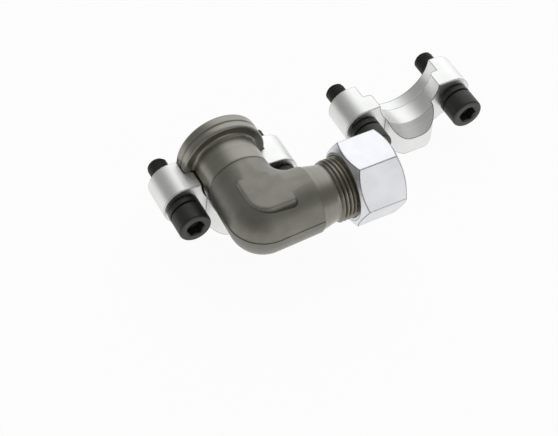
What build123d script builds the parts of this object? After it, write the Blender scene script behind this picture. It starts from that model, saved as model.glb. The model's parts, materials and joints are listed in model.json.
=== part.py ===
from build123d import *
import math
import os

# Hydraulic flange elbow with its two clamp halves, cap screws and union nut. All lengths are millimetres.
# The origin is the centre of the sealing face, +Y leaves the flange, +X leaves the tube end and +Z is up.

# Flange head and neck
head_d = 41.3
head_thickness = 8.8
head_edge = 0.7
head_line_back = 4.6
head_line_depth = 0.5
neck_d = 31.75
neck_length = 24.2
neck_fillet = 1.2
neck_line_depth = 0.4
flow_bore_d = 19.0

# Face seal and its groove
seal_d = 3.53
seal_inner_d = 24.99
seal_standout = 0.73
seal_side_gap = 0.1
seal_floor_gap = 0.02

# Forged body
face_to_centre = 47.4
body_d = 33.6
leg_end_d = 32.0
tube_leg_length = 23.5
corner_bend_r = 21.0
pad_height = 15.9
pad_depth = 5.0
pad_draft = 30.0
pad_inner_width = 7.6
pad_side_width = 7.4
pad_outer_width = 8.7
pad_reach = 12.0
pad_corner_r = 8.5
pad_edge_r = 1.5
flash_width = 3.2
flash_height = 0.3

# Tube end: 24 degree cone for a cutting ring, thread drawn at its core
stub_end = 50.8
turned_step = 0.35
taper_length = 8.5
thread_d = 30.0
thread_pitch = 2.0
thread_depth_per_pitch = 0.6134
stub_edge = 0.8
tube_d = 20.0
tube_clearance = 0.05
tube_bore_d = 16.0
tube_stop_depth = 10.5
cone_mouth_d = 22.9
cone_half_angle = 12.0

# Union nut and cutting ring
nut_across_flats = 36.0
nut_length = 24.0
nut_edge_r = 0.4
nut_face_d = 33.0
nut_chamfer_angle = 30.0
nut_turned = -5.3
nut_engagement = 9.5
nut_bore_clearance = 0.2
nut_mouth = 1.3
nut_exit_clearance = 0.25
nut_exit_edge = 0.5
ring_nose_depth = 3.2
ring_collar_clearance = 1.0
ring_collar_gap = 0.6
ring_length = 12.0
ring_tail_wall = 0.6
ring_bore_clearance = 0.1
ring_seat_gap = 0.2

# Clamp halves
recess_clearance = 0.25
recess_depth = 8.3
lip_clearance = 0.6
lip_edge = 1.2
clamp_thickness = 28.0
ear_thickness = 17.8
ear_height = 21.6
ear_end = 9.4
ear_flat = 0.4
clamp_wall = 9.1
foot_cut = 0.6
waist_r = 4.0
hub_end_r = 9.5
split_gap = 0.6
clamp_edge = 0.5
spot_face_d = 25.0
flare_d = 39.5
flare_start = 20.0
bolt_margin = 9.5
bolt_drop = 11.9
fitted_roll = 4.4
loose_clamp_x = 99.4
loose_clamp_y = 7.7

# Cap screws and split spring washers
screw_d = 10.0
screw_length = 34.0
screw_tip_edge = 1.0
screw_head_d = 16.0
screw_head_height = 9.7
screw_head_edge = 1.2
socket_across_flats = 8.0
socket_depth = 5.0
hole_clearance = 0.5
washer_thickness = 2.5
washer_free_height = 4.6
washer_bore_clearance = 0.1
washer_arc = 345.0
washer_gap = 0.05

# Sizes that follow from the ones above
head_r = head_d / 2
neck_r = neck_d / 2
forged_flange_leg = face_to_centre - neck_length
thread_core_r = thread_d / 2 - thread_depth_per_pitch * thread_pitch
cone_slope = math.tan(math.radians(cone_half_angle))
socket_r = tube_d / 2 + tube_clearance
cone_length = (cone_mouth_d / 2 - socket_r) / cone_slope
nut_start = stub_end - nut_engagement
nut_end = nut_start + nut_length
seal_mean_r = (seal_inner_d + seal_d) / 2
groove_depth = seal_d - seal_standout
recess_r = head_r + recess_clearance
lip_r = neck_r + lip_clearance
hub_r = recess_r + clamp_wall
foot = hub_r - foot_cut
ear_corner_r = (ear_height - ear_flat) / 2
bolt_x = (head_d + bolt_margin) / 2
hub_half_width = bolt_x - spot_face_d / 2
screw_r = screw_d / 2

centre = (0, -face_to_centre, 0)
flange_axis = Axis(centre, (0, 1, 0))
tube_axis = Axis(centre, (1, 0, 0))
body_plane = Plane(centre)
port_to_back = (0, -1, 0)

os.makedirs("parts", exist_ok=True)


# Plane square to the tube leg, at a distance from the flange axis
def across_tube(distance):
    return Plane((distance, -face_to_centre, 0), x_dir=(0, 1, 0), z_dir=(1, 0, 0))


# Forging: two tapered legs, a ball at the outer corner and a bend that rounds the inner one
def forged_legs(skin):
    corner_r = body_d / 2 + skin
    end_r = leg_end_d / 2 + skin
    with BuildPart() as legs:
        with BuildSketch(body_plane):
            with BuildLine():
                CenterArc((0, 0), corner_r, -90, 90)
                Polyline((corner_r, 0), (end_r, forged_flange_leg), (0, forged_flange_leg), (0, -corner_r))
            make_face()
        revolve(axis=flange_axis)
        with BuildSketch(body_plane):
            with BuildLine():
                Polyline((0, 0), (0, corner_r), (tube_leg_length, end_r), (tube_leg_length, 0), close=True)
            make_face()
        revolve(axis=tube_axis)
        bend_centre = (corner_bend_r, corner_bend_r - face_to_centre, 0)
        with BuildSketch(across_tube(corner_bend_r)):
            Circle(end_r)
        revolve(axis=Axis(bend_centre, (0, 0, -1)), revolution_arc=90)
    return legs.part


forging = forged_legs(0)
grown_forging = forged_legs(flash_height)

# Trimmed flash: a low band round the parting plane of the forging
with BuildPart() as flash_band:
    add(grown_forging)
    with Locations(centre):
        Box(4 * face_to_centre, 4 * face_to_centre, flash_width, mode=Mode.INTERSECT)

with BuildPart() as elbow_body:
    add(forging)
    add(flash_band.part)

    # L-shaped flats, proud of the round at their outer edge and run out along its crown
    for side in (1, -1):
        with BuildSketch(body_plane.offset(side * pad_height)) as pad:
            with BuildLine():
                Polyline(
                    (-pad_side_width, -pad_outer_width),
                    (pad_reach, -pad_outer_width),
                    (pad_reach, pad_inner_width),
                    (pad_inner_width, pad_inner_width),
                    (pad_inner_width, pad_reach),
                    (-pad_side_width, pad_reach),
                    close=True,
                )
            make_face()
            outer_corner = pad.vertices().sort_by(Axis((0, 0, 0), (1, 1, 0)))[0]
            rest = [v for v in pad.vertices() if v != outer_corner]
            fillet(rest, pad_edge_r)
            fillet(pad.vertices().sort_by(Axis((0, 0, 0), (1, 1, 0)))[0], pad_corner_r)
        extrude(amount=-side * pad_depth, taper=-pad_draft)
        with BuildSketch(body_plane.offset(side * pad_height)):
            Rectangle(4 * face_to_centre, 4 * face_to_centre)
        extrude(amount=side * body_d / 2, mode=Mode.SUBTRACT)

    # Turned neck and flange head, with the fine line round the head
    with BuildSketch(Plane.XY) as flange_turning:
        with BuildLine():
            Polyline(
                (0, -neck_length),
                (neck_r, -neck_length),
                (neck_r, -head_thickness),
                (head_r, -head_thickness),
                (head_r, -head_line_back - head_line_depth),
                (head_r - head_line_depth, -head_line_back),
                (head_r, -head_line_back + head_line_depth),
                (head_r, 0),
                (0, 0),
                close=True,
            )
        make_face()
        head_rim = flange_turning.vertices().filter_by(lambda v: abs(v.X - head_r) < 1e-6)
        fillet([head_rim.sort_by(Axis.Y)[0], head_rim.sort_by(Axis.Y)[-1]], head_edge)
        neck_root = flange_turning.vertices().filter_by(
            lambda v: abs(v.X - neck_r) < 1e-6 and abs(v.Y + head_thickness) < 1e-6
        )
        fillet(neck_root, neck_fillet)
    revolve(axis=Axis.Y)

    # Fine line where the turning stops
    with BuildSketch(Plane.XY):
        with Locations((leg_end_d / 2, -neck_length)):
            Rectangle(2 * neck_line_depth, 2 * neck_line_depth, rotation=45)
    revolve(axis=Axis.Y, mode=Mode.SUBTRACT)

    # Turned tube end: a taper down to the threaded stub
    with BuildSketch(body_plane):
        with BuildLine():
            Polyline(
                (tube_leg_length, 0),
                (tube_leg_length, leg_end_d / 2 - turned_step),
                (tube_leg_length + taper_length, thread_core_r),
                (stub_end - stub_edge, thread_core_r),
                (stub_end, thread_core_r - stub_edge),
                (stub_end, 0),
                close=True,
            )
        make_face()
    revolve(axis=tube_axis)

    # Flow bore from the flange, then the seal groove in its face
    with BuildSketch(Plane.XY):
        with BuildLine():
            Polyline(
                (0, 0),
                (flow_bore_d / 2, 0),
                (flow_bore_d / 2, -face_to_centre - tube_bore_d / 2),
                (0, -face_to_centre - tube_bore_d / 2),
                close=True,
            )
        make_face()
        with Locations((seal_mean_r, -groove_depth / 2)):
            Rectangle(seal_d + 2 * seal_side_gap, groove_depth)
    revolve(axis=Axis.Y, mode=Mode.SUBTRACT)

    # Tube side: cone, tube socket and bore
    with BuildSketch(body_plane):
        with BuildLine():
            Polyline(
                (0, 0),
                (0, tube_bore_d / 2),
                (stub_end - tube_stop_depth, tube_bore_d / 2),
                (stub_end - tube_stop_depth, socket_r),
                (stub_end - cone_length, socket_r),
                (stub_end, cone_mouth_d / 2),
                (stub_end, 0),
                close=True,
            )
        make_face()
    revolve(axis=tube_axis, mode=Mode.SUBTRACT)

elbow_body.part.label = "elbow_body"
export_step(elbow_body.part, "parts/elbow_body.step")

# Ring seal lying in the groove of the flange face
with BuildPart() as face_seal:
    with BuildSketch(Plane.XY):
        with Locations((seal_mean_r, seal_d / 2 + seal_floor_gap - groove_depth)):
            Circle(seal_d / 2)
    revolve(axis=Axis.Y)

face_seal.part.label = "face_seal"
export_step(face_seal.part, "parts/face_seal.step")

# Cutting ring: nose in the cone of the stub, collar inside the nut, tail tapered at 45 degrees
nut_bore_r = thread_core_r + nut_bore_clearance
ring_bore_r = tube_d / 2 + ring_bore_clearance
ring_collar_r = nut_bore_r - ring_collar_clearance
ring_nose = stub_end - ring_nose_depth
ring_tail = ring_nose + ring_length
ring_tail_r = ring_bore_r + ring_tail_wall
mouth_fit_r = cone_mouth_d / 2 - ring_seat_gap
collar_start = stub_end + ring_collar_gap
collar_end = ring_tail - (ring_collar_r - ring_tail_r)

with BuildPart() as cutting_ring:
    with BuildSketch(body_plane):
        with BuildLine():
            Polyline(
                (ring_nose, ring_bore_r),
                (ring_nose, mouth_fit_r - ring_nose_depth * cone_slope),
                (collar_start, mouth_fit_r + ring_collar_gap * cone_slope),
                (collar_start, ring_collar_r),
                (collar_end, ring_collar_r),
                (ring_tail, ring_tail_r),
                (ring_tail, ring_bore_r),
                close=True,
            )
        make_face()
    revolve(axis=tube_axis)

cutting_ring.part.label = "cutting_ring"
export_step(cutting_ring.part, "parts/cutting_ring.step")

# Union nut: chamfered hexagon, bored for the thread, closed to the tube by a 45 degree shoulder
nut_corner_r = nut_across_flats / math.sqrt(3)
nut_chamfer = (nut_corner_r - nut_face_d / 2) * math.tan(math.radians(nut_chamfer_angle))
nut_exit_r = tube_d / 2 + nut_exit_clearance
shoulder_gap = ring_seat_gap * math.sqrt(2)
shoulder_end = ring_tail + shoulder_gap + ring_tail_r - nut_exit_r
shoulder_start = shoulder_end - (nut_bore_r - nut_exit_r)

with BuildPart() as union_nut:
    with BuildSketch(across_tube(nut_start)):
        RegularPolygon(nut_corner_r, 6, rotation=nut_turned)
    extrude(amount=nut_length)
    fillet(union_nut.edges().filter_by(Axis.X), nut_edge_r)
    with BuildSketch(body_plane):
        with BuildLine():
            Polyline(
                (nut_start, 0),
                (nut_start, nut_face_d / 2),
                (nut_start + nut_chamfer, nut_corner_r),
                (nut_end - nut_chamfer, nut_corner_r),
                (nut_end, nut_face_d / 2),
                (nut_end, 0),
                close=True,
            )
        make_face()
    revolve(axis=tube_axis, mode=Mode.INTERSECT)
    with BuildSketch(body_plane):
        with BuildLine():
            Polyline(
                (nut_start, 0),
                (nut_start, nut_bore_r + nut_mouth),
                (nut_start + nut_mouth, nut_bore_r),
                (shoulder_start, nut_bore_r),
                (shoulder_end, nut_exit_r),
                (nut_end - nut_exit_edge, nut_exit_r),
                (nut_end, nut_exit_r + nut_exit_edge),
                (nut_end, 0),
                close=True,
            )
        make_face()
    revolve(axis=tube_axis, mode=Mode.SUBTRACT)

union_nut.part.label = "union_nut"
export_step(union_nut.part, "parts/union_nut.step")


# Hub of a clamp half: rounded at both ends, so that the screw heads have room beside it
def clamp_hub(port):
    with BuildPart() as hub:
        with BuildSketch(port.offset(ear_thickness / 2)):
            Circle(hub_r)
            with Locations((0, -hub_r - foot), (0, hub_r - split_gap)):
                Rectangle(4 * hub_r, 2 * hub_r, mode=Mode.SUBTRACT)
        extrude(amount=clamp_thickness - ear_thickness / 2)
        fillet(hub.faces().sort_by(Axis.Y)[0].edges(), clamp_edge)
        with BuildSketch(Plane(port.origin, x_dir=port.x_dir, z_dir=port.y_dir)):
            RectangleRounded(2 * hub_half_width, 2 * clamp_thickness, hub_end_r)
        extrude(amount=2 * hub_r, both=True, mode=Mode.INTERSECT)
    return hub.part


# Clamp half with its port face on the given plane, open side up
def clamp_half(port):
    ear_bottom = split_gap + ear_height
    bolts = [(-bolt_x, -bolt_drop), (bolt_x, -bolt_drop)]
    hub = clamp_hub(port)
    with BuildPart() as clamp:
        with BuildSketch(port) as outline:
            Circle(hub_r)
            with Locations((0, hub_r - bolt_drop), (0, -hub_r - foot)):
                Rectangle(4 * hub_r, 2 * hub_r, mode=Mode.SUBTRACT)
            with Locations((0, -split_gap - ear_height / 2)):
                RectangleRounded(2 * (bolt_x + ear_end), ear_height, ear_corner_r)
            waist_x = math.sqrt(hub_r**2 - ear_bottom**2)
            waist = outline.vertices().filter_by(
                lambda v: abs(abs(v.X) - waist_x) < 1e-4 and abs(v.Y + ear_bottom) < 1e-4
            )
            fillet(waist, waist_r)
        extrude(amount=ear_thickness)
        fillet(clamp.faces().sort_by(Axis.Y)[-1].edges(), clamp_edge)
        fillet(clamp.faces().sort_by(Axis.Y)[0].edges(), clamp_edge)

        add(hub)

        # Round seat for the flange head and the lip behind it
        with BuildSketch(port):
            Circle(lip_r)
        extrude(amount=clamp_thickness, mode=Mode.SUBTRACT)
        with BuildSketch(port):
            Circle(recess_r)
        extrude(amount=recess_depth, mode=Mode.SUBTRACT)
        with BuildSketch(port.offset(recess_depth)):
            Circle(lip_r + lip_edge)
        extrude(amount=lip_edge, taper=45, mode=Mode.SUBTRACT)

        # Turned flare at the back, which clears the bend of the elbow
        flare_angle = math.degrees(math.atan2(flare_d / 2 - lip_r, clamp_thickness - flare_start))
        with BuildSketch(port.offset(flare_start)):
            Circle(lip_r)
        extrude(amount=clamp_thickness - flare_start, taper=-flare_angle, mode=Mode.SUBTRACT)

        # Screw holes
        with BuildSketch(port):
            with Locations(*bolts):
                Circle(screw_r + hole_clearance)
        extrude(amount=ear_thickness, mode=Mode.SUBTRACT)
    return clamp


# Split spring washer in its free, twisted form, resting on the given plane
def spring_washer(seat):
    inner_r = screw_r + washer_bore_clearance
    outer_r = screw_head_d / 2
    rise = washer_free_height - washer_thickness
    mean_r = (inner_r + outer_r) / 2
    base = seat.offset(washer_gap + washer_thickness / 2)
    with BuildPart() as washer:
        with BuildLine() as coil:
            Helix(rise * 360 / washer_arc, rise, mean_r, center=base.origin, direction=base.z_dir)
        start = Plane(coil.line @ 0, x_dir=coil.line @ 0 - base.origin, z_dir=coil.line % 0)
        with BuildSketch(start):
            Rectangle(outer_r - inner_r, washer_thickness)
        sweep(path=coil.line, is_frenet=True)
    return washer


# Socket head cap screw with its head's underside on the given plane and its shank running back from it
def cap_screw(seat):
    with BuildPart() as screw:
        with BuildSketch(seat):
            Circle(screw_head_d / 2)
        extrude(amount=screw_head_height)
        fillet(screw.edges().filter_by(GeomType.CIRCLE).sort_by(Axis.Y)[0], screw_head_edge)
        with BuildSketch(seat):
            Circle(screw_r)
        extrude(amount=-screw_length)
        chamfer(screw.edges().filter_by(GeomType.CIRCLE).sort_by(Axis.Y)[-1], screw_tip_edge)
        with BuildSketch(seat.offset(screw_head_height)):
            RegularPolygon(socket_across_flats / 2, 6, major_radius=False)
        extrude(amount=-socket_depth, mode=Mode.SUBTRACT)
    return screw


# One clamp half holds the flange head and has rolled a little round it, so that it stands on the edge of its
# foot. The other stands flat beside the elbow, on the same floor.
roll = math.radians(fitted_roll)
foot_half_width = math.sqrt(hub_r**2 - foot**2)
floor_drop = foot * math.cos(roll) + foot_half_width * math.sin(roll) - foot
clamp_places = {
    "fitted": ((0, recess_depth - head_thickness, 0), (math.cos(roll), 0, -math.sin(roll))),
    "loose": ((loose_clamp_x, loose_clamp_y, -floor_drop), (1, 0, 0)),
}
for place, (port_point, across) in clamp_places.items():
    port = Plane(port_point, x_dir=across, z_dir=port_to_back)
    clamp = clamp_half(port)
    clamp.part.label = place + "_clamp_half"
    export_step(clamp.part, "parts/" + place + "_clamp_half.step")
    for hand, sign in (("left", -1), ("right", 1)):
        ear_point = port.from_local_coords((sign * bolt_x, -bolt_drop, ear_thickness))
        ear_back = Plane(ear_point, x_dir=across, z_dir=port_to_back)
        washer = spring_washer(ear_back)
        washer.part.label = place + "_washer_" + hand
        export_step(washer.part, "parts/" + place + "_washer_" + hand + ".step")
        screw = cap_screw(ear_back.offset(washer_free_height + 2 * washer_gap))
        screw.part.label = place + "_screw_" + hand
        export_step(screw.part, "parts/" + place + "_screw_" + hand + ".step")
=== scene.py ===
"""Looks of a hydraulic flange elbow: threads, cap screws, washers, finishes and a plain studio."""

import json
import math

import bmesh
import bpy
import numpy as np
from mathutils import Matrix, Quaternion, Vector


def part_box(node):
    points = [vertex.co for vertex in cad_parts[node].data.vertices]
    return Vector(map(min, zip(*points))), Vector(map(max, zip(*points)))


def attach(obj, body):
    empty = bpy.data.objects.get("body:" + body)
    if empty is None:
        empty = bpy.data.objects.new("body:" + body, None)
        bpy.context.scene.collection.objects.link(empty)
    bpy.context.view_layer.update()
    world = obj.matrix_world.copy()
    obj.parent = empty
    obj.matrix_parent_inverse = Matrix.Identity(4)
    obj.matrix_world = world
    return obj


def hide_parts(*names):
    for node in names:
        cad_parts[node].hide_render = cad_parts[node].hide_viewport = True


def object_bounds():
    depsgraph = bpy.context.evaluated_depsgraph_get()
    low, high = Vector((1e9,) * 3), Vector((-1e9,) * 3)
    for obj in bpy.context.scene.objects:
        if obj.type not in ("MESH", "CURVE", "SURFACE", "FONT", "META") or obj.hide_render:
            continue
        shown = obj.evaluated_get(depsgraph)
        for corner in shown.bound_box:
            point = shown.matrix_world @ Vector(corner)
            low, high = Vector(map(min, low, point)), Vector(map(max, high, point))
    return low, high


bl_info = {
    "name": "Hydraulic Flange Elbow",
    "version": (1, 0, 0),
    "blender": (4, 5, 0),
    "location": "View3D > Sidebar > Flange Elbow",
    "description": "Dresses the flange elbow with threads and finishes, and sets it in a plain studio",
    "category": "Object",
}

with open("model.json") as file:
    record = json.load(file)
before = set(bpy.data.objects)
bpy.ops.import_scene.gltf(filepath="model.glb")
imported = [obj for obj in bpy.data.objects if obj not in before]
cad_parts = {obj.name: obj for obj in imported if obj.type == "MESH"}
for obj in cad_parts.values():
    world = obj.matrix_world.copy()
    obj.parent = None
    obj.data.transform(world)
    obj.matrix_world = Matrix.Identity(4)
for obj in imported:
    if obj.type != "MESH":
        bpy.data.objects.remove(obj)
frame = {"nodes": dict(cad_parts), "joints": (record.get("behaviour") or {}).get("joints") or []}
cad_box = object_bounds()

FIXED_BODY = "fitting"
PLACES = ("fitted", "loose")
HANDS = ("left", "right")
HEX_SIDES = 6

nut_hinge = next(joint for joint in frame["joints"] if joint["name"] == "nut_turn")
tube_axis_y = nut_hinge["pos_m"][1]
stub_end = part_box("elbow_body")[1].x
clamp_boxes = {place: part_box(place + "_clamp_half") for place in PLACES}


class ThreadSizes(bpy.types.PropertyGroup):
    """Sizes of the thread on the tube end."""

    crest_radius: bpy.props.FloatProperty(
        name="Crest radius", description="Outside radius of the thread", default=0.01492, unit="LENGTH"
    )
    root_radius: bpy.props.FloatProperty(
        name="Root radius", description="Radius at the root of the thread", default=0.01374, unit="LENGTH"
    )
    pitch: bpy.props.FloatProperty(
        name="Pitch", description="Advance of the thread in one turn", default=0.002, unit="LENGTH"
    )
    start: bpy.props.FloatProperty(
        name="Start", description="Distance from the flange axis where the thread begins", default=0.0326,
        unit="LENGTH",
    )


class ScrewSizes(bpy.types.PropertyGroup):
    """Sizes of the socket head cap screws."""

    crest_radius: bpy.props.FloatProperty(
        name="Crest radius", description="Outside radius of the thread", default=0.005, unit="LENGTH"
    )
    root_radius: bpy.props.FloatProperty(
        name="Root radius", description="Radius at the root of the thread", default=0.00412, unit="LENGTH"
    )
    pitch: bpy.props.FloatProperty(
        name="Pitch", description="Advance of the thread in one turn", default=0.0015, unit="LENGTH"
    )
    head_height: bpy.props.FloatProperty(
        name="Head height", description="Height of the round head", default=0.0097, unit="LENGTH"
    )
    head_edge: bpy.props.FloatProperty(
        name="Head edge", description="Rounding of the head's end edge", default=0.0012, unit="LENGTH"
    )
    plain_shank: bpy.props.FloatProperty(
        name="Plain shank", description="Length under the head with no thread", default=0.003, unit="LENGTH"
    )
    socket_flats: bpy.props.FloatProperty(
        name="Socket flats", description="Distance across the socket's flats", default=0.008, unit="LENGTH"
    )
    socket_depth: bpy.props.FloatProperty(
        name="Socket depth", description="Depth of the socket", default=0.005, unit="LENGTH"
    )
    socket_bevel: bpy.props.FloatProperty(
        name="Socket bevel", description="Radius of the countersink at the socket's mouth", default=0.0048,
        unit="LENGTH",
    )


class ForgingSizes(bpy.types.PropertyGroup):
    """Where the elbow's turned ends begin, and the height of its flats."""

    neck_start: bpy.props.FloatProperty(
        name="Neck start", description="Place along the flange axis where turning begins", default=-0.0242,
        unit="LENGTH",
    )
    stub_start: bpy.props.FloatProperty(
        name="Stub start", description="Place along the tube axis where turning begins", default=0.0235,
        unit="LENGTH",
    )
    pad_height: bpy.props.FloatProperty(
        name="Pad height", description="Height of the flats above the middle plane", default=0.0159,
        unit="LENGTH",
    )


class ClampSizes(bpy.types.PropertyGroup):
    """Turned surfaces of the clamp halves."""

    seat_radius: bpy.props.FloatProperty(
        name="Seat radius", description="Just outside the round seat", default=0.0212, unit="LENGTH"
    )
    flare_radius: bpy.props.FloatProperty(
        name="Flare radius", description="Radius of the flare at the back face", default=0.01975,
        unit="LENGTH",
    )
    flare_slope: bpy.props.FloatProperty(
        name="Flare slope", description="Growth of the flare's radius along its axis", default=0.4094
    )
    split_gap: bpy.props.FloatProperty(
        name="Split gap", description="Distance from the split face to the port's axis", default=0.0006,
        unit="LENGTH",
    )


class FinishColours(bpy.types.PropertyGroup):
    """Colours of the finishes."""

    phosphate: bpy.props.FloatVectorProperty(
        name="Phosphate", description="Dark grey of the elbow", subtype="COLOR",
        default=(0.232, 0.224, 0.193),
    )
    oiled_thread: bpy.props.FloatVectorProperty(
        name="Oiled thread", description="Darker grey of the tube end's thread", subtype="COLOR",
        default=(0.225, 0.211, 0.17),
    )
    nut_zinc: bpy.props.FloatVectorProperty(
        name="Nut zinc", description="Bluish bright zinc of the nut", subtype="COLOR",
        default=(0.8, 0.805, 0.835),
    )
    clamp_zinc: bpy.props.FloatVectorProperty(
        name="Clamp zinc", description="Bright zinc of the clamp halves", subtype="COLOR",
        default=(0.88, 0.885, 0.87),
    )
    black_oxide: bpy.props.FloatVectorProperty(
        name="Black oxide", description="Black of screws and washers", subtype="COLOR",
        default=(0.03, 0.03, 0.027),
    )
    seal_rubber: bpy.props.FloatVectorProperty(
        name="Seal rubber", description="Black of the face seal", subtype="COLOR",
        default=(0.014, 0.014, 0.014),
    )


class StudioSettings(bpy.types.PropertyGroup):
    """Camera, floor and sky."""

    eye: bpy.props.FloatVectorProperty(
        name="Eye", description="Place of the camera", subtype="XYZ", unit="LENGTH",
        default=(-0.21359, -0.44167, 0.53315),
    )
    aim: bpy.props.FloatVectorProperty(
        name="Aim", description="Point in the middle of the picture", subtype="XYZ", unit="LENGTH",
        default=(0.0064, -0.05099, 0.0),
    )
    roll: bpy.props.FloatProperty(
        name="Roll", description="Turn of the camera about its line of sight", subtype="ANGLE",
        default=math.radians(2.346),
    )
    lens: bpy.props.FloatProperty(
        name="Lens", description="Focal length on a 36 mm sensor, in millimetres", default=100.03
    )
    floor_colour: bpy.props.FloatVectorProperty(
        name="Floor", description="Colour of the floor", subtype="COLOR", default=(0.94, 0.94, 0.935)
    )
    floor_glow: bpy.props.FloatProperty(
        name="Floor glow", description="Share of plain white that the eye sees in the floor", default=0.95
    )
    sky_middle: bpy.props.FloatVectorProperty(
        name="Sky middle", description="Direction of the brightest sky", subtype="DIRECTION",
        default=(0.55, 0.65, 0.525),
    )
    sky_bright: bpy.props.FloatVectorProperty(
        name="Bright sky", description="Light from the brightest sky", subtype="COLOR",
        default=(1.25, 1.26, 1.27),
        max=2.0,
    )
    sky_front: bpy.props.FloatVectorProperty(
        name="Front", description="Direction of the paler side of the room", subtype="DIRECTION",
        default=(0.316, -0.93, 0.17),
    )
    sky_pale: bpy.props.FloatVectorProperty(
        name="Pale side", description="Light from the paler side of the room", subtype="COLOR",
        default=(1.3, 1.3, 1.29),
        max=2.0,
    )
    sky_dim: bpy.props.FloatVectorProperty(
        name="Dim side", description="Light from the other side of the room", subtype="COLOR",
        default=(0.32, 0.32, 0.31),
    )


class FlangeElbowSettings(bpy.types.PropertyGroup):
    """All settings of the flange elbow."""

    thread: bpy.props.PointerProperty(type=ThreadSizes)
    screw: bpy.props.PointerProperty(type=ScrewSizes)
    forging: bpy.props.PointerProperty(type=ForgingSizes)
    clamp: bpy.props.PointerProperty(type=ClampSizes)
    colours: bpy.props.PointerProperty(type=FinishColours)
    studio: bpy.props.PointerProperty(type=StudioSettings)


# Surfaces


def thread_height(turns, crest_share=0.125, root_share=0.25):
    """Thread profile, once a turn: 1 on a flat crest, 0 in a flat root and straight between them."""
    away_from_crest = 2 * np.abs(turns - np.floor(turns) - 0.5)
    return np.clip((1 - root_share - away_from_crest) / (1 - root_share - crest_share), 0, 1)


def hexagon_radius(angle, apothem):
    """Polar hexagon with a corner at angle zero: apothem over the cosine of the angle from a flat."""
    step = 2 * math.pi / HEX_SIDES
    return apothem / np.cos(np.mod(angle, step) - step / 2)


def quarter_round(start, end, steps):
    """Points on an elliptic quarter from start to end, leaving start along the first axis."""
    angle = np.linspace(0, math.pi / 2, steps)
    along = start[0] + (end[0] - start[0]) * np.sin(angle)
    out = start[1] + (end[1] - start[1]) * (1 - np.cos(angle))
    return list(zip(along, out))


def around(centre, along, side, up, place, radius, angle):
    """Points at a place along an axis and a radius from it, each an array of rings by angles."""
    turned = np.cos(angle)[..., None] * np.array(side) + np.sin(angle)[..., None] * np.array(up)
    return np.array(centre) + place[..., None] * np.array(along) + radius[..., None] * turned


def ring_quads(rings, columns, closed):
    """Quads between neighbouring rings of a grid whose columns, and rings if closed, join end to end."""
    first = np.arange(rings if closed else rings - 1)
    ring, column = np.meshgrid(first, np.arange(columns), indexing="ij")
    next_ring = (ring + 1) % rings
    next_column = (column + 1) % columns
    corners = (
        ring * columns + column,
        ring * columns + next_column,
        next_ring * columns + next_column,
        next_ring * columns + column,
    )
    return np.stack(corners, axis=-1).reshape(-1, 4)


def pole_fan(pole, ring_start, columns):
    """Triangles from one pole vertex to every edge of a ring."""
    column = np.arange(columns)
    corners = (np.full(columns, pole), ring_start + column, ring_start + (column + 1) % columns)
    return np.stack(corners, axis=-1)


def make_piece(name, points, faces, body, material, sharp_angle=35):
    """Mesh object at the origin from points and faces, outward facing, smooth but for its sharp edges."""
    mesh = bpy.data.meshes.new(name)
    mesh.from_pydata(points.tolist(), [], faces)
    work = bmesh.new()
    work.from_mesh(mesh)
    bmesh.ops.recalc_face_normals(work, faces=work.faces)
    work.to_mesh(mesh)
    work.free()
    mesh.shade_smooth()
    mesh.set_sharp_from_angle(angle=math.radians(sharp_angle))
    mesh.materials.append(material)
    piece = bpy.data.objects.new(name, mesh)
    bpy.context.scene.collection.objects.link(piece)
    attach(piece, body)
    return piece


def dress(node, material):
    """Gives a CAD node its finish."""
    mesh = frame["nodes"][node].data
    mesh.materials.clear()
    mesh.materials.append(material)


# Node trees

BEVEL_SAMPLES = 8
GROOVE_SAMPLES = 12
PHOSPHATE_METALLIC = 0.92
QUARTER_TURN = (0, 0, -math.pi / 2)


def shade(colour, factor):
    """Colour times a factor, with alpha."""
    return tuple(min(channel * factor, 1.0) for channel in colour) + (1.0,)


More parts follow.
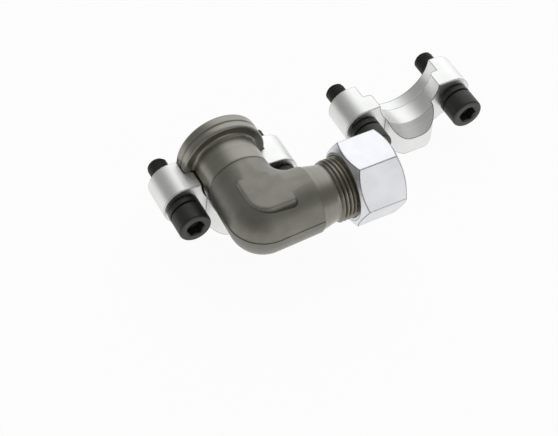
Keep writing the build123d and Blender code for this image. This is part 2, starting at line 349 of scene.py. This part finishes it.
class NodeSheet:
    """A node tree, with short calls that place a node and join it to the ones before it."""

    def __init__(self, tree):
        self.tree = tree

    def join(self, output, socket):
        """Links an output to a socket."""
        self.tree.links.new(output, socket)

    def add(self, kind, inputs=None, **settings):
        """Places a node. A socket among the inputs is linked, and any other value is set."""
        node = self.tree.nodes.new(kind)
        for key, value in settings.items():
            setattr(node, key, value)
        for key, value in (inputs or {}).items():
            if isinstance(value, bpy.types.NodeSocket):
                self.join(value, node.inputs[key])
            else:
                node.inputs[key].default_value = value
        return node

    def math(self, operation, *values, clamp=False):
        """Result of a Math node."""
        inputs = dict(enumerate(values))
        return self.add("ShaderNodeMath", inputs, operation=operation, use_clamp=clamp).outputs["Value"]

    def dot(self, first, second):
        """Dot product of two vectors."""
        inputs = {0: first, 1: second}
        return self.add("ShaderNodeVectorMath", inputs, operation="DOT_PRODUCT").outputs["Value"]

    def mix(self, share, low, high):
        """Number between low and high."""
        inputs = {"Factor": share, "A": low, "B": high}
        return self.add("ShaderNodeMix", inputs, data_type="FLOAT").outputs["Result"]

    def mix_colour(self, share, low, high):
        """Colour between low and high. The node names its sockets alike, so these are picked by number."""
        factor, colour_a, colour_b, result = 0, 6, 7, 2
        inputs = {factor: share, colour_a: low, colour_b: high}
        return self.add("ShaderNodeMix", inputs, data_type="RGBA").outputs[result]

    def shades(self, share, colour, low, high):
        """Colour between two shades of one colour."""
        return self.mix_colour(share, shade(colour, low), shade(colour, high))

    def step(self, value, start, width):
        """Smooth step from 0 to 1 as value passes start, over a width."""
        inputs = {"Value": value, "From Min": start - width / 2, "From Max": start + width / 2}
        return self.add("ShaderNodeMapRange", inputs, interpolation_type="SMOOTHSTEP").outputs["Result"]

    def until(self, value, end, width):
        """Smooth step from 1 to 0 as value passes end, over a width."""
        return self.math("SUBTRACT", 1.0, self.step(value, end, width))

    def radius(self, parts):
        """Distance from the X axis: root of the sum of the squares of a separated vector's Y and Z."""
        squares = [self.math("POWER", parts.outputs[axis], 2.0) for axis in ("Y", "Z")]
        return self.math("SQRT", self.math("ADD", *squares))

    def facing(self, axis):
        """Share of the surface's normal along an axis, from -1 to 1."""
        normal = self.add("ShaderNodeNewGeometry").outputs["Normal"]
        return self.add("ShaderNodeSeparateXYZ", {0: normal}).outputs[axis]

    def rounded(self, radius):
        """Normal of the surface with its edges rounded to a radius."""
        return self.add("ShaderNodeBevel", {"Radius": radius}, samples=BEVEL_SAMPLES).outputs["Normal"]

    def place(self, vector, location=(0, 0, 0), rotation=(0, 0, 0), scale=(1, 1, 1)):
        """Vector moved, turned and scaled by a Mapping node."""
        inputs = {"Vector": vector, "Location": location, "Rotation": rotation, "Scale": scale}
        return self.add("ShaderNodeMapping", inputs).outputs["Vector"]

    def noise(self, vector, scale, detail=2.0, roughness=0.5):
        """Noise value from 0 to 1."""
        inputs = {"Vector": vector, "Scale": scale, "Detail": detail, "Roughness": roughness}
        return self.add("ShaderNodeTexNoise", inputs).outputs["Fac"]


def effect_group(name, inputs, outputs):
    """Empty shader node group with the named sockets, and its sheet, input and output nodes."""
    tree = bpy.data.node_groups.new(name, "ShaderNodeTree")
    for socket, kind in inputs.items():
        tree.interface.new_socket(socket, in_out="INPUT", socket_type="NodeSocket" + kind)
    for socket in outputs:
        tree.interface.new_socket(socket, in_out="OUTPUT", socket_type="NodeSocketFloat")
    sheet = NodeSheet(tree)
    return tree, sheet, sheet.add("NodeGroupInput"), sheet.add("NodeGroupOutput")


def turning_marks():
    """Tool marks round the X axis: noise along the sum of place on the axis and distance from it."""
    name = "Turning marks"
    if name in bpy.data.node_groups:
        return bpy.data.node_groups[name]
    sockets = {"Vector": "Vector", "Spacing": "Float"}
    tree, sheet, given, made = effect_group(name, sockets, ["Height", "Streak"])
    parts = sheet.add("ShaderNodeSeparateXYZ", {0: given.outputs["Vector"]})
    path = sheet.math("ADD", parts.outputs["X"], sheet.radius(parts))
    lines = sheet.math("DIVIDE", path, given.outputs["Spacing"])
    fine = {"W": lines, "Scale": 1.0, "Detail": 2.0}
    broad = {"W": lines, "Scale": 0.12, "Detail": 1.0}
    for waves, output in ((fine, "Height"), (broad, "Streak")):
        noise = sheet.add("ShaderNodeTexNoise", waves, noise_dimensions="1D")
        sheet.join(noise.outputs["Fac"], made.inputs[output])
    return tree


def forged_grain():
    """Skin of a forging: fine grain over shallow dents, and a slow mottle."""
    name = "Forged grain"
    if name in bpy.data.node_groups:
        return bpy.data.node_groups[name]
    sockets = {"Vector": "Vector", "Size": "Float"}
    tree, sheet, given, made = effect_group(name, sockets, ["Height", "Mottle"])
    dent_scale, mottle_scale, dent_share = 0.22, 0.07, 0.55
    scale = sheet.math("DIVIDE", 1.0, given.outputs["Size"])
    fine = sheet.noise(given.outputs["Vector"], scale, detail=3.0, roughness=0.6)
    dents = sheet.noise(given.outputs["Vector"], sheet.math("MULTIPLY", scale, dent_scale))
    mottle_size = sheet.math("MULTIPLY", scale, mottle_scale)
    mottle = sheet.noise(given.outputs["Vector"], mottle_size, detail=3.0, roughness=0.55)
    sheet.join(sheet.mix(dent_share, fine, dents), made.inputs["Height"])
    sheet.join(mottle, made.inputs["Mottle"])
    return tree


def edge_lines():
    """Lines along edges: 1 where a rounding of the given radius would turn the surface, 0 elsewhere."""
    name = "Edge lines"
    if name in bpy.data.node_groups:
        return bpy.data.node_groups[name]
    tree, sheet, given, made = effect_group(name, {"Radius": "Float"}, ["Mask"])
    least_turn, turn_blend = 0.008, 0.012
    flat = sheet.add("ShaderNodeNewGeometry").outputs["Normal"]
    turn = sheet.math("SUBTRACT", 1.0, sheet.dot(sheet.rounded(given.outputs["Radius"]), flat))
    sheet.join(sheet.step(turn, least_turn, turn_blend), made.inputs["Mask"])
    return tree


def new_finish(name):
    """Material with a Principled shader joined to its output, and its sheet and Object coordinates."""
    material = bpy.data.materials.new(name)
    material.use_nodes = True
    material.node_tree.nodes.clear()
    sheet = NodeSheet(material.node_tree)
    shader = sheet.add("ShaderNodeBsdfPrincipled")
    sheet.add("ShaderNodeOutputMaterial", {"Surface": shader.outputs["BSDF"]})
    coordinates = sheet.add("ShaderNodeTexCoord").outputs["Object"]
    return material, sheet, shader, coordinates


def effect(sheet, tree, **inputs):
    """Places a node group in a sheet."""
    return sheet.add("ShaderNodeGroup", inputs, node_tree=tree).outputs


def from_tube_axis(sheet, coordinates):
    """Coordinates measured from the axis of the tube end."""
    return sheet.place(coordinates, location=(0, -tube_axis_y, 0))


def bump(sheet, shader, height, depth, edge_radius=None):
    """Joins a height to the shader's normal, with a depth in metres, over edges softened to a radius."""
    inputs = {"Height": height, "Distance": depth, "Strength": 1.0}
    if edge_radius is not None:
        inputs["Normal"] = sheet.rounded(edge_radius)
    sheet.join(sheet.add("ShaderNodeBump", inputs).outputs["Normal"], shader.inputs["Normal"])


def phosphated_forging(colours, forging):
    """Dark grey phosphate: grainy forged skin, finer and lighter with tool marks on the turned ends."""
    border = 0.0001
    tool_feed = 0.00022
    turned_depth = 0.3
    flat_lean, wall_lean, lean_blend = 0.86, 0.62, 0.1
    edge_round, flat_round = 0.0009, 0.0026
    groove_reach, groove_openness, groove_blend, groove_dark = 0.0016, 0.72, 0.4, 0.6
    foot_drop, foot_blend = 0.0013, 0.0018
    lowest_wall, lowest_blend = 0.0118, 0.0006
    shaded_tone = 0.25
    oil_weight = 0.5

    material, sheet, shader, coordinates = new_finish("phosphated_forging")
    place = sheet.add("ShaderNodeSeparateXYZ", {0: coordinates})
    on_neck = sheet.step(place.outputs["Y"], forging.neck_start, border)
    on_stub = sheet.step(place.outputs["X"], forging.stub_start, border)
    turned = sheet.math("MAXIMUM", on_neck, on_stub)
    neck_place = sheet.place(coordinates, rotation=QUARTER_TURN)
    neck_marks = effect(sheet, turning_marks(), Vector=neck_place, Spacing=tool_feed)
    stub_place = from_tube_axis(sheet, coordinates)
    stub_marks = effect(sheet, turning_marks(), Vector=stub_place, Spacing=tool_feed)
    skin = effect(sheet, forged_grain(), Vector=coordinates, Size=0.0006)
    marks = sheet.mix(on_stub, neck_marks["Height"], stub_marks["Height"])
    streak = sheet.mix(on_stub, neck_marks["Streak"], stub_marks["Streak"])

    # Edges of the flats run out more softly than the rest
    levelness = sheet.math("ABSOLUTE", sheet.facing("Z"))
    edge_radius = sheet.mix(sheet.step(levelness, flat_lean, lean_blend), edge_round, flat_round)
    relief = sheet.mix(turned, skin["Height"], sheet.math("MULTIPLY", marks, turned_depth))
    bump(sheet, shader, relief, depth=0.00006, edge_radius=edge_radius)

    forged_colour = sheet.shades(skin["Mottle"], colours.phosphate, low=0.82, high=1.22)
    neck_colour = sheet.shades(streak, colours.phosphate, low=1.1, high=1.35)
    stub_colour = sheet.shades(streak, colours.phosphate, low=0.97, high=1.2)
    turned_colour = sheet.mix_colour(on_stub, neck_colour, stub_colour)
    colour = sheet.mix_colour(turned, forged_colour, turned_colour)

    # Painted shade: the colour is darkened in grooves, where little of the sky reaches, and at the foot of
    # the wall round each flat
    inputs = {"Distance": groove_reach}
    settings = {"samples": GROOVE_SAMPLES, "only_local": True}
    openness = sheet.add("ShaderNodeAmbientOcclusion", inputs, **settings).outputs["AO"]
    in_groove = sheet.until(openness, groove_openness, groove_blend)
    flat_or_turned = sheet.math("MAXIMUM", turned, sheet.step(levelness, wall_lean, lean_blend))
    height = sheet.math("ABSOLUTE", place.outputs["Z"])
    low_down = sheet.step(sheet.math("SUBTRACT", forging.pad_height, height), foot_drop, foot_blend)
    wall_foot = sheet.math("MULTIPLY", low_down, sheet.step(height, lowest_wall, lowest_blend))
    wall_foot = sheet.math("SUBTRACT", wall_foot, flat_or_turned, clamp=True)
    in_shade = sheet.math("MAXIMUM", sheet.math("MULTIPLY", in_groove, groove_dark), wall_foot)
    shaded = sheet.mix_colour(in_shade, colour, shade(colours.phosphate, shaded_tone))
    sheet.join(shaded, shader.inputs["Base Color"])

    forged_roughness = sheet.mix(skin["Mottle"], low=0.56, high=0.46)
    turned_roughness = sheet.mix(streak, low=0.36, high=0.26)
    sheet.join(sheet.mix(turned, forged_roughness, turned_roughness), shader.inputs["Roughness"])
    shader.inputs["Metallic"].default_value = PHOSPHATE_METALLIC
    # A film of oil lies on all but the places of painted shade, which it would lighten
    sheet.join(sheet.mix(in_shade, low=oil_weight, high=0.0), shader.inputs["Coat Weight"])
    shader.inputs["Coat Roughness"].default_value = 0.3
    return material


def oiled_thread_finish(colours):
    """Phosphated thread, darker and shinier with oil."""
    material, sheet, shader, coordinates = new_finish("oiled_thread")
    marks = effect(sheet, turning_marks(), Vector=from_tube_axis(sheet, coordinates), Spacing=0.00012)
    skin = effect(sheet, forged_grain(), Vector=coordinates, Size=0.0004)
    bump(sheet, shader, marks["Height"], depth=0.00001)
    colour = sheet.shades(skin["Mottle"], colours.oiled_thread, low=0.75, high=1.25)
    sheet.join(colour, shader.inputs["Base Color"])
    sheet.join(sheet.mix(skin["Mottle"], low=0.36, high=0.26), shader.inputs["Roughness"])
    shader.inputs["Metallic"].default_value = PHOSPHATE_METALLIC
    return material


def zinc_nut(colours):
    """Bright zinc on drawn hexagon bar: fine lines along the flats, tool marks on the turned ends."""
    turned_lean, lean_blend = 0.25, 0.1
    line_stretch, line_scale = (0.05, 1, 1), 2600.0
    skin_share = 0.5
    edge_tone = 0.2
    material, sheet, shader, coordinates = new_finish("zinc_nut")
    centred = from_tube_axis(sheet, coordinates)
    turned = sheet.step(sheet.math("ABSOLUTE", sheet.facing("X")), turned_lean, lean_blend)
    marks = effect(sheet, turning_marks(), Vector=centred, Spacing=0.00025)
    drawn = sheet.noise(sheet.place(centred, scale=line_stretch), line_scale, detail=3.0, roughness=0.6)
    skin = effect(sheet, forged_grain(), Vector=coordinates, Size=0.0007)
    flats = sheet.mix(skin_share, drawn, skin["Height"])
    bump(sheet, shader, sheet.mix(turned, flats, marks["Height"]), depth=0.00002)
    zinc = sheet.shades(skin["Mottle"], colours.nut_zinc, low=0.9, high=1.06)
    # Painted reflection: dark lines along the corners of the hexagon and its chamfers, where the rounded
    # edges would mirror the dim room
    edges = effect(sheet, edge_lines(), Radius=0.0008)
    with_painted_light = sheet.mix_colour(edges["Mask"], zinc, shade(colours.nut_zinc, edge_tone))
    sheet.join(with_painted_light, shader.inputs["Base Color"])
    sheet.join(sheet.mix(skin["Mottle"], low=0.38, high=0.3), shader.inputs["Roughness"])
    shader.inputs["Metallic"].default_value = 1.0
    return material


def port_point(place, sizes):
    """Point on a clamp half's port axis, at its front face. The fitted half sits on the flange axis."""
    low, high = clamp_boxes[place]
    if place == "fitted":
        return Vector((0, high.y, 0))
    return Vector(((low.x + high.x) / 2, high.y, high.z + sizes.split_gap))


def zinc_clamp(colours, sizes, place):
    """Bright zinc on a forged clamp half, with tool marks in its round seat and on the flare behind it."""
    seat_border, flare_border, flare_margin = 0.0002, 0.0001, 0.00015
    seat_depth, flare_depth = 0.4, 0.8
    flare_roughness = 0.5
    edge_tone = 0.35
    material, sheet, shader, coordinates = new_finish("zinc_clamp_" + place)
    low, high = clamp_boxes[place]
    port = port_point(place, sizes)
    port_axis = sheet.place(sheet.place(coordinates, location=-port), rotation=QUARTER_TURN)
    seat = sheet.add("ShaderNodeSeparateXYZ", {0: port_axis})
    radius = sheet.radius(seat)
    in_seat = sheet.until(radius, sizes.seat_radius, seat_border)
    # The flare's radius less its slope times depth is the same number all over the flare, and least there
    slant = sheet.math("MULTIPLY_ADD", seat.outputs["X"], sizes.flare_slope, radius)
    flare_edge = sizes.flare_radius - sizes.flare_slope * (high.y - low.y) + flare_margin
    in_flare = sheet.until(slant, flare_edge, flare_border)
    marks = effect(sheet, turning_marks(), Vector=port_axis, Spacing=0.0003)
    skin = effect(sheet, forged_grain(), Vector=coordinates, Size=0.0011)
    mark_depth = sheet.mix(in_flare, seat_depth, flare_depth)
    seat_marks = sheet.math("MULTIPLY", marks["Height"], mark_depth)
    bump(sheet, shader, sheet.mix(in_seat, skin["Height"], seat_marks), depth=0.00007)
    zinc = sheet.shades(skin["Mottle"], colours.clamp_zinc, low=0.9, high=1.08)
    flare = sheet.shades(marks["Height"], colours.clamp_zinc, low=0.85, high=1.15)
    plate = sheet.mix_colour(in_flare, zinc, flare)
    # Painted reflection: dark lines along the clamp half's edges, where the rounded edges would mirror the
    # dim room
    edges = effect(sheet, edge_lines(), Radius=0.0007)
    with_painted_light = sheet.mix_colour(edges["Mask"], plate, shade(colours.clamp_zinc, edge_tone))
    sheet.join(with_painted_light, shader.inputs["Base Color"])
    roughness = sheet.mix(skin["Mottle"], low=0.46, high=0.36)
    sheet.join(sheet.mix(in_flare, roughness, flare_roughness), shader.inputs["Roughness"])
    shader.inputs["Metallic"].default_value = 1.0
    return material


def black_oxide(colours):
    """Black oxide with a trace of oil, a little paler on faces turned towards minus Y, such as the ends of
    the heads: a painted highlight.
    """
    end_lean, lean_blend = 0.75, 0.3
    end_tone = 2.6
    material, sheet, shader, coordinates = new_finish("black_oxide")
    skin = effect(sheet, forged_grain(), Vector=coordinates, Size=0.0005)
    bump(sheet, shader, skin["Height"], depth=0.000015)
    # Painted highlight: faces turned towards minus Y, on the camera's side, are paler, standing in for the
    # bright floor they would mirror
    on_end = sheet.step(sheet.math("MULTIPLY", sheet.facing("Y"), -1.0), end_lean, lean_blend)
    oxide = sheet.shades(skin["Mottle"], colours.black_oxide, low=0.8, high=1.9)
    with_painted_light = sheet.mix_colour(on_end, oxide, shade(colours.black_oxide, end_tone))
    sheet.join(with_painted_light, shader.inputs["Base Color"])
    sheet.join(sheet.mix(skin["Mottle"], low=0.5, high=0.36), shader.inputs["Roughness"])
    shader.inputs["Metallic"].default_value = 0.35
    shader.inputs["Specular IOR Level"].default_value = 0.45
    return material


def plated_ring(colours):
    """Plated steel of the cutting ring, turned all over."""
    material, sheet, shader, coordinates = new_finish("plated_ring")
    marks = effect(sheet, turning_marks(), Vector=from_tube_axis(sheet, coordinates), Spacing=0.0002)
    bump(sheet, shader, marks["Height"], depth=0.00001)
    colour = sheet.shades(marks["Streak"], colours.clamp_zinc, low=0.65, high=0.85)
    sheet.join(colour, shader.inputs["Base Color"])
    sheet.join(sheet.mix(marks["Streak"], low=0.4, high=0.28), shader.inputs["Roughness"])
    shader.inputs["Metallic"].default_value = 1.0
    return material


def seal_rubber(colours):
    """Black rubber with a faint bloom."""
    material, sheet, shader, coordinates = new_finish("seal_rubber")
    skin = effect(sheet, forged_grain(), Vector=coordinates, Size=0.0004)
    bump(sheet, shader, skin["Height"], depth=0.00001)
    colour = sheet.shades(skin["Mottle"], colours.seal_rubber, low=0.8, high=1.8)
    sheet.join(colour, shader.inputs["Base Color"])
    sheet.join(sheet.mix(skin["Mottle"], low=0.62, high=0.5), shader.inputs["Roughness"])
    return material


def pale_floor(studio):
    """Pale matte floor that shows near white to the eye and in reflections, and still takes a shadow."""
    material = bpy.data.materials.new("pale_floor")
    material.use_nodes = True
    material.node_tree.nodes.clear()
    sheet = NodeSheet(material.node_tree)
    matte = sheet.add("ShaderNodeBsdfDiffuse", {"Color": (*studio.floor_colour, 1.0)})
    white = sheet.add("ShaderNodeEmission", {"Color": (1, 1, 1, 1), "Strength": 1.0})
    ray = sheet.add("ShaderNodeLightPath").outputs
    seen = sheet.math("MAXIMUM", ray["Is Camera Ray"], ray["Is Glossy Ray"])
    seen = sheet.math("MAXIMUM", seen, ray["Is Transmission Ray"])
    share = sheet.math("MULTIPLY", seen, studio.floor_glow)
    mixed = sheet.add("ShaderNodeMixShader", {0: share, 1: matte.outputs[0], 2: white.outputs[0]})
    sheet.add("ShaderNodeOutputMaterial", {"Surface": mixed.outputs[0]})
    return material


# Pieces


class FLANGE_OT_forging(bpy.types.Operator):
    """Give the elbow its phosphated finish"""

    bl_idname = "flange_elbow.forging"
    bl_label = "Forging Finish"

    def execute(self, context):
        settings = context.scene.flange_elbow
        dress("elbow_body", phosphated_forging(settings.colours, settings.forging))
        return {"FINISHED"}


class FLANGE_OT_stub_thread(bpy.types.Operator):
    """Make the thread that stands on the tube end"""

    bl_idname = "flange_elbow.stub_thread"
    bl_label = "Tube End Thread"

    def execute(self, context):
        settings = context.scene.flange_elbow
        sizes = settings.thread
        columns = 128
        rings_per_turn = 18
        sunk = 0.0004
        depth = sizes.crest_radius - sizes.root_radius
        end = stub_end - depth
        rings = int(rings_per_turn * (end - sizes.start) / sizes.pitch)
        angle = np.linspace(0, 2 * math.pi, columns, endpoint=False)
        place = np.linspace(sizes.start, end, rings)
        # The thread is a helix whose height is the thread profile of place over pitch less angle over a turn
        turns = place[:, None] / sizes.pitch - angle[None, :] / (2 * math.pi)
        # The crest is cut back at 45 degrees at both ends of the thread
        room = np.minimum(place - sizes.start, end - place)
        radius = sizes.root_radius + np.minimum(depth * thread_height(turns), room[:, None])
        inner = np.full((1, columns), sizes.root_radius - sunk)
        radius = np.concatenate([inner, radius, inner])
        place = np.concatenate([place[:1], place, place[-1:]])
        place = np.repeat(place[:, None], columns, axis=1)
        spread = np.broadcast_to(angle, place.shape)
        points = around((0, tube_axis_y, 0), (1, 0, 0), (0, 1, 0), (0, 0, 1), place, radius, spread)
        faces = ring_quads(rings + 2, columns, closed=True).tolist()
        finish = oiled_thread_finish(settings.colours)
        make_piece("stub_thread", points.reshape(-1, 3), faces, FIXED_BODY, finish)
        return {"FINISHED"}


def cap_screw_rings(sizes, tip, head_end, head_radius, angle):
    """Places and radii of a cap screw's rings, from its tip to the bottom of its socket.

    The thread is a helix whose height is the thread profile of place over pitch plus angle over a turn.
    It is cut to a cone at the tip and fades into the plain shank. The socket's mouth is a cone cut by the
    hexagon."""
    rings_per_turn = 14
    tip_cone = 0.0011
    fade_turns = 2.2
    neck, neck_steps = 0.0006, 5
    under_edge, edge_steps = 0.0003, 8
    mouth_slope = math.tan(math.radians(40))
    seat = head_end + sizes.head_height
    depth = sizes.crest_radius - sizes.root_radius
    fade = fade_turns * sizes.pitch
    thread_end = seat + sizes.plain_shank
    rings = int(rings_per_turn * (tip - thread_end) / sizes.pitch)
    place = np.linspace(tip, thread_end, rings)
    turns = place[:, None] / sizes.pitch + angle[None, :] / (2 * math.pi)
    filled = np.clip((thread_end + fade - place) / fade, 0, 1)[:, None]
    radius = sizes.root_radius + depth * np.maximum(thread_height(turns), filled)
    cone = sizes.crest_radius - tip_cone + (tip - place)[:, None]
    radius = np.minimum(radius, cone)

    outline = [(seat + neck, sizes.crest_radius)]
    outline += quarter_round(outline[0], (seat, sizes.crest_radius + neck), neck_steps)[1:]
    outline += [(seat, head_radius - under_edge), (seat - under_edge, head_radius)]
    edge_start = (head_end + sizes.head_edge, head_radius)
    outline += quarter_round(edge_start, (head_end, head_radius - sizes.head_edge), edge_steps)
    outline += [(head_end, (head_radius + sizes.socket_bevel) / 2), (head_end, sizes.socket_bevel)]
    outline = np.array(outline)
    head_place = np.repeat(outline[:, :1], len(angle), axis=1)
    head_rings = np.repeat(outline[:, 1:], len(angle), axis=1)

    hexagon = hexagon_radius(angle, sizes.socket_flats / 2)
    mouth = head_end + (sizes.socket_bevel - hexagon) * mouth_slope
    floor = np.full_like(hexagon, head_end + sizes.socket_depth)
    socket_place = np.stack([mouth, floor])
    socket_rings = np.stack([hexagon, hexagon])
    shank_place = np.repeat(place[:, None], len(angle), axis=1)
    return (
        np.concatenate([shank_place, head_place, socket_place]),
        np.concatenate([radius, head_rings, socket_rings]),
    )


class FLANGE_OT_cap_screws(bpy.types.Operator):
    """Make the threaded cap screws in place of the plain ones"""

    bl_idname = "flange_elbow.cap_screws"
    bl_label = "Cap Screws"

    def execute(self, context):
        settings = context.scene.flange_elbow
        finish = black_oxide(settings.colours)
        columns = 48
        drill_point = 0.0012
        angle = np.linspace(0, 2 * math.pi, columns, endpoint=False)
        for node in [place + "_screw_" + hand for place in PLACES for hand in HANDS]:
            low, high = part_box(node)
            centre = Vector(((low.x + high.x) / 2, 0, (low.z + high.z) / 2))
            head_radius = (high.x - low.x) / 2
            place, radius = cap_screw_rings(settings.screw, high.y, low.y, head_radius, angle)
            spread = np.broadcast_to(angle, place.shape)
            points = around(centre, (0, 1, 0), (1, 0, 0), (0, 0, 1), place, radius, spread).reshape(-1, 3)
            socket_floor = low.y + settings.screw.socket_depth + drill_point
            poles = [(centre.x, high.y, centre.z), (centre.x, socket_floor, centre.z)]
            points = np.concatenate([points, poles])
            rings = len(place)
            faces = ring_quads(rings, columns, closed=False).tolist()
            faces += pole_fan(rings * columns, 0, columns).tolist()
            faces += pole_fan(rings * columns + 1, (rings - 1) * columns, columns).tolist()
            name = node.replace("screw", "threaded_screw")
            piece = make_piece(name, points, faces, FIXED_BODY, finish)
            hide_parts(node)
            dress(node.replace("screw", "washer"), finish)
        return {"FINISHED"}


class FLANGE_OT_clamp_halves(bpy.types.Operator):
    """Give the clamp halves their bright zinc finish"""

    bl_idname = "flange_elbow.clamp_halves"
    bl_label = "Clamp Halves"

    def execute(self, context):
        settings = context.scene.flange_elbow
        for place in PLACES:
            dress(place + "_clamp_half", zinc_clamp(settings.colours, settings.clamp, place))
        return {"FINISHED"}


class FLANGE_OT_nut_and_ring(bpy.types.Operator):
    """Give the union nut and the cutting ring their finishes"""

    bl_idname = "flange_elbow.nut_and_ring"
    bl_label = "Nut and Ring"

    def execute(self, context):
        colours = context.scene.flange_elbow.colours
        dress("union_nut", zinc_nut(colours))
        dress("cutting_ring", plated_ring(colours))
        return {"FINISHED"}


class FLANGE_OT_face_seal(bpy.types.Operator):
    """Give the face seal its rubber finish"""

    bl_idname = "flange_elbow.face_seal"
    bl_label = "Face Seal"

    def execute(self, context):
        dress("face_seal", seal_rubber(context.scene.flange_elbow.colours))
        return {"FINISHED"}


class FLANGE_OT_studio(bpy.types.Operator):
    """Set the floor, the sky and the camera"""

    bl_idname = "flange_elbow.studio"
    bl_label = "Studio"

    def execute(self, context):
        scene = context.scene
        studio = scene.flange_elbow.studio
        self.make_floor(scene, studio)
        self.make_sky(scene, studio)
        self.make_camera(scene, studio)
        scene.view_settings.view_transform = "Standard"
        return {"FINISHED"}

    def make_floor(self, scene, studio):
        """Large square that the clamp halves stand on."""
        half = 2.5
        level = cad_box[0].z
        corners = [(-half, -half, level), (half, -half, level), (half, half, level), (-half, half, level)]
        mesh = bpy.data.meshes.new("floor")
        mesh.from_pydata(corners, [], [(0, 1, 2, 3)])
        mesh.materials.append(pale_floor(studio))
        floor = bpy.data.objects.new("floor", mesh)
        scene.collection.objects.link(floor)

    def make_sky(self, scene, studio):
        """Soft sky, bright behind and above the object, in a room that is paler in front."""
        world = bpy.data.worlds.new("studio_sky")
        world.use_nodes = True
        world.node_tree.nodes.clear()
        sheet = NodeSheet(world.node_tree)
        front_edge, front_blend = 0.955, 0.08
        bright_edge, bright_blend = 0.76, 0.4
        direction = sheet.add("ShaderNodeTexCoord").outputs["Generated"]
        in_front = sheet.step(sheet.dot(direction, studio.sky_front), front_edge, front_blend)
        in_bright = sheet.step(sheet.dot(direction, studio.sky_middle), bright_edge, bright_blend)
        lights = (studio.sky_bright, studio.sky_pale, studio.sky_dim)
        bright, pale, dim = ((*light, 1.0) for light in lights)
        room = sheet.mix_colour(in_front, dim, pale)
        colour = sheet.mix_colour(in_bright, room, bright)
        sky = sheet.add("ShaderNodeBackground", {"Color": colour, "Strength": 1.0})
        sheet.add("ShaderNodeOutputWorld", {"Surface": sky.outputs[0]})
        scene.world = world

    def make_camera(self, scene, studio):
        """Camera at the eye, turned to the aim and rolled about its line of sight."""
        data = bpy.data.cameras.new("camera")
        data.lens = studio.lens
        data.sensor_width = 36.0
        data.sensor_fit = "HORIZONTAL"
        data.clip_start = 0.01
        camera = bpy.data.objects.new("camera", data)
        camera.location = studio.eye
        camera.rotation_mode = "QUATERNION"
        sight = (Vector(studio.aim) - Vector(studio.eye)).to_track_quat("-Z", "Y")
        camera.rotation_quaternion = sight @ Quaternion((0, 0, 1), studio.roll)
        scene.collection.objects.link(camera)
        scene.camera = camera


OPERATORS = (
    FLANGE_OT_forging,
    FLANGE_OT_stub_thread,
    FLANGE_OT_cap_screws,
    FLANGE_OT_clamp_halves,
    FLANGE_OT_nut_and_ring,
    FLANGE_OT_face_seal,
    FLANGE_OT_studio,
)


class FLANGE_PT_panel(bpy.types.Panel):
    """Buttons for the flange elbow's pieces"""

    bl_idname = "FLANGE_PT_panel"
    bl_label = "Flange Elbow"
    bl_space_type = "VIEW_3D"
    bl_region_type = "UI"
    bl_category = "Flange Elbow"

    def draw(self, context):
        for operator in OPERATORS:
            self.layout.operator(operator.bl_idname)


CLASSES = (
    ThreadSizes,
    ScrewSizes,
    ForgingSizes,
    ClampSizes,
    FinishColours,
    StudioSettings,
    FlangeElbowSettings,
    *OPERATORS,
    FLANGE_PT_panel,
)


def register():
    for cls in CLASSES:
        bpy.utils.register_class(cls)
    bpy.types.Scene.flange_elbow = bpy.props.PointerProperty(type=FlangeElbowSettings)


def unregister():
    del bpy.types.Scene.flange_elbow
    for cls in reversed(CLASSES):
        bpy.utils.unregister_class(cls)


def main():
    register()
    bpy.ops.flange_elbow.forging()
    bpy.ops.flange_elbow.stub_thread()
    bpy.ops.flange_elbow.cap_screws()
    bpy.ops.flange_elbow.clamp_halves()
    bpy.ops.flange_elbow.nut_and_ring()
    bpy.ops.flange_elbow.face_seal()
    bpy.ops.flange_elbow.studio()


if __name__ == "__main__":
    main()
